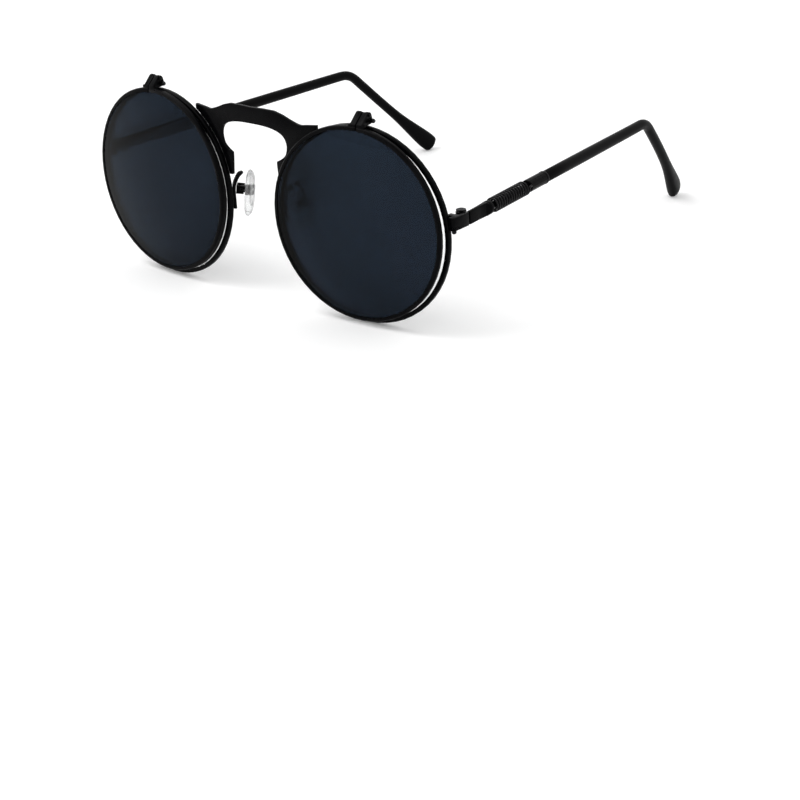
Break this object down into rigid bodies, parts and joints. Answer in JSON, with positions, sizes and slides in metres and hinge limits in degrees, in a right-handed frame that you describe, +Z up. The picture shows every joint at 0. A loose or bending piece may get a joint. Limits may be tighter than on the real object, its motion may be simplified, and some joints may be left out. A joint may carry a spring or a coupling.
{
  "type": "flip-up sunglasses",
  "caption": "Round metal sunglasses with clear fixed lenses, dark lenses that flip up on top hinges, a keyhole bridge plate and coil-wrapped folding temples.",
  "frame": {"origin": "bottom centre of the whole pair with the temples open, on the surface that the rims and temple tips stand on", "axes": "+Z up; the lenses face -Y and the temples run back along +Y; +X is towards the wearer's left"},
  "size_m": [0.1272, 0.1364, 0.0558],
  "materials": {
    "frame_enamel": "satin black enamel over metal",
    "screws": "black plated, slightly glossier than the frame",
    "spring_steel": "black plated spring wire",
    "temple_sleeve": "smooth satin black acetate",
    "dark_lens": "dark grey tint with a navy reflection",
    "clear_lens": "clear, polished",
    "nose_pad": "clear soft silicone"
  },
  "bodies": {
    "front_frame": {"bridge_plate": "frame_enamel", "rear_rim_left": "frame_enamel", "clear_lens_left": "clear_lens", "end_piece_left": "frame_enamel", "closing_block_left": "frame_enamel", "rim_screw_left": "screws", "temple_hinge_screw_left": "screws", "pad_arm_left": "frame_enamel", "pad_box_left": "frame_enamel", "pad_screw_left": "screws", "flip_hinge_base_left": "frame_enamel", "flip_hinge_pin_left": "screws", "rear_rim_right": "frame_enamel", "clear_lens_right": "clear_lens", "end_piece_right": "frame_enamel", "closing_block_right": "frame_enamel", "rim_screw_right": "screws", "temple_hinge_screw_right": "screws", "pad_arm_right": "frame_enamel", "pad_box_right": "frame_enamel", "pad_screw_right": "screws", "flip_hinge_base_right": "frame_enamel", "flip_hinge_pin_right": "screws"},
    "left_flip_unit": {"flip_rim_left": "frame_enamel", "flip_lens_left": "dark_lens", "flip_rim_screw_left": "screws"},
    "right_flip_unit": {"flip_rim_right": "frame_enamel", "flip_lens_right": "dark_lens", "flip_rim_screw_right": "screws"},
    "left_temple_unit": {"temple_left": "frame_enamel", "coil_spring_left": "spring_steel", "temple_ferrule_left": "frame_enamel", "temple_joint_ring_left": "screws", "temple_tip_left": "temple_sleeve"},
    "right_temple_unit": {"temple_right": "frame_enamel", "coil_spring_right": "spring_steel", "temple_ferrule_right": "frame_enamel", "temple_joint_ring_right": "screws", "temple_tip_right": "temple_sleeve"},
    "left_nose_pad_unit": {"nose_pad_left": "nose_pad", "pad_stem_left": "screws"},
    "right_nose_pad_unit": {"nose_pad_right": "nose_pad", "pad_stem_right": "screws"}
  },
  "joints": [
    {"name": "left_flip_hinge", "type": "hinge", "parent": "front_frame", "child": "left_flip_unit", "pos_m": [0.03677, -0.06127, 0.0536], "axis": [-0.9965, -0.0837, 0], "range_deg": [0, 95]},
    {"name": "right_flip_hinge", "type": "hinge", "parent": "front_frame", "child": "right_flip_unit", "pos_m": [-0.03677, -0.06127, 0.0536], "axis": [-0.9965, 0.0837, 0], "range_deg": [0, 95]},
    {"name": "left_temple_hinge", "type": "hinge", "parent": "front_frame", "child": "left_temple_unit", "pos_m": [0.06035, -0.05418, 0.0304], "axis": [0, 0, 1], "range_deg": [0, 84]},
    {"name": "right_temple_hinge", "type": "hinge", "parent": "front_frame", "child": "right_temple_unit", "pos_m": [-0.06035, -0.05418, 0.0304], "axis": [0, 0, -1], "range_deg": [0, 72]},
    {"name": "left_nose_pad_rock", "type": "hinge", "parent": "front_frame", "child": "left_nose_pad_unit", "pos_m": [0.01124, -0.0576, 0.02668], "axis": [0.5944, 0.7986, 0.0941], "range_deg": [-8, 8]},
    {"name": "right_nose_pad_rock", "type": "hinge", "parent": "front_frame", "child": "right_nose_pad_unit", "pos_m": [-0.01124, -0.0576, 0.02668], "axis": [-0.5944, 0.7986, 0.0941], "range_deg": [-8, 8]}
  ]
}
